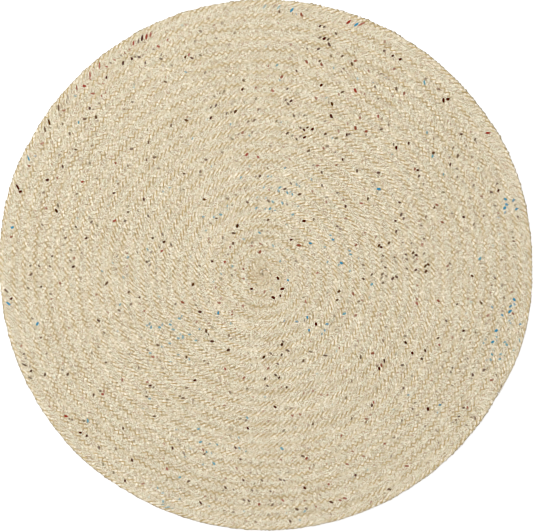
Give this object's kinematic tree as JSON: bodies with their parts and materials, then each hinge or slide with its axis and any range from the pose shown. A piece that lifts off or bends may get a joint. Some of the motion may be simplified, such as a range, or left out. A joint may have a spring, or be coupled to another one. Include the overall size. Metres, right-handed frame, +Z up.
{
  "type": "round jute rug",
  "caption": "Round flat floor rug made of one long jute plait wound into a flat spiral and sewn edge to edge.",
  "frame": {"origin": "on the floor under the middle of the rug's outline", "axes": "+Z up out of the rug's face; +Y is the top of the picture; the plait winds outwards clockwise seen from above"},
  "size_m": [1.2, 1.1956, 0.01],
  "materials": {
    "jute": "matt natural jute, cream to straw, with sparse maroon, dark brown and blue flecks spun in"
  },
  "bodies": {
    "root": {"rug": "jute"}
  },
  "joints": []
}
